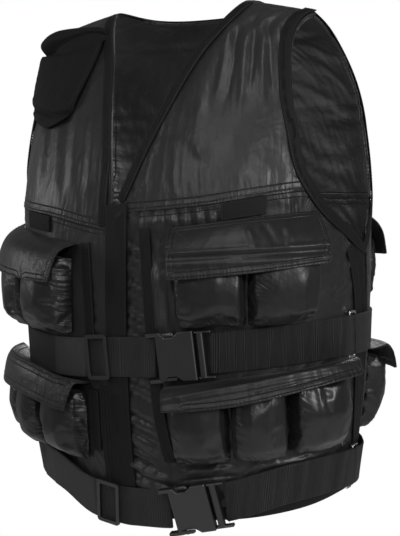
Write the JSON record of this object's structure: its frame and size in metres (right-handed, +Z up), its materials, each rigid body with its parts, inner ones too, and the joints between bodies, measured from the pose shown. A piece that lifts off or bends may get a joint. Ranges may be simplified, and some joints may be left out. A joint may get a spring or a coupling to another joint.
{
  "type": "weighted vest",
  "caption": "Weighted vest shaped as worn: V neck, filled pocket cells under flaps, webbing belts with side release buckles, padded right shoulder.",
  "frame": {"origin": "midway between the neck points of the shoulders, at the inner face of the shoulder cloth, where the vest rests on its wearer", "axes": "+X to the wearer's left, -Y to the front, +Z up"},
  "size_m": [0.54, 0.4344, 0.6721],
  "materials": {
    "satin": "satin woven nylon",
    "padding": "satin woven nylon, filled and puckered",
    "webbing": "matte ribbed webbing",
    "binding": "matte woven tape",
    "matte_pad": "matte brushed cloth",
    "plastic": "semi-gloss moulded plastic",
    "metal": "bright plated steel"
  },
  "bodies": {
    "root": {"yoke_front_left": "satin", "yoke_front_right": "satin", "yoke_back": "satin", "neck_binding": "binding", "armhole_binding_left": "binding", "armhole_binding_right": "binding", "front_panel_left": "satin", "side_gusset_left": "webbing", "front_panel_right": "satin", "side_gusset_right": "webbing", "back_panel": "satin", "placket": "binding", "strip_left": "webbing", "strip_right": "webbing", "strip_right_lower": "webbing", "front_zip": "webbing", "side_tape_left": "webbing", "side_tape_right": "webbing", "hem_binding": "binding", "patch_left": "webbing", "patch_right": "webbing", "cell_front_left_upper_1": "padding", "cell_front_left_upper_2": "padding", "flap_front_left_upper": "satin", "cell_front_right_upper_1": "padding", "cell_front_right_upper_2": "padding", "flap_front_right_upper": "satin", "cell_front_left_lower_1": "padding", "cell_front_left_lower_2": "padding", "cell_front_left_lower_3": "padding", "flap_front_left_lower": "satin", "cell_front_right_lower_1": "padding", "cell_front_right_lower_2": "padding", "cell_front_right_lower_3": "padding", "flap_front_right_lower": "satin", "cells_back_left_upper": "padding", "flap_back_left_upper": "satin", "cells_back_right_upper": "padding", "flap_back_right_upper": "satin", "cells_back_left_lower": "padding", "flap_back_left_lower": "satin", "cells_back_right_lower": "padding", "flap_back_right_lower": "satin", "belt_upper_right": "webbing", "belt_upper_left": "webbing", "belt_upper_back": "webbing", "buckle_socket_upper": "plastic", "buckle_latch_upper": "plastic", "slider_upper": "plastic", "ring_upper_left": "metal", "ring_upper_right": "metal", "belt_lower_right": "webbing", "belt_lower_left": "webbing", "belt_lower_back": "webbing", "buckle_socket_lower": "plastic", "buckle_latch_lower": "plastic", "slider_lower": "plastic", "ring_lower_left": "metal", "ring_lower_right": "metal", "shoulder_pad": "matte_pad"}
  },
  "joints": []
}
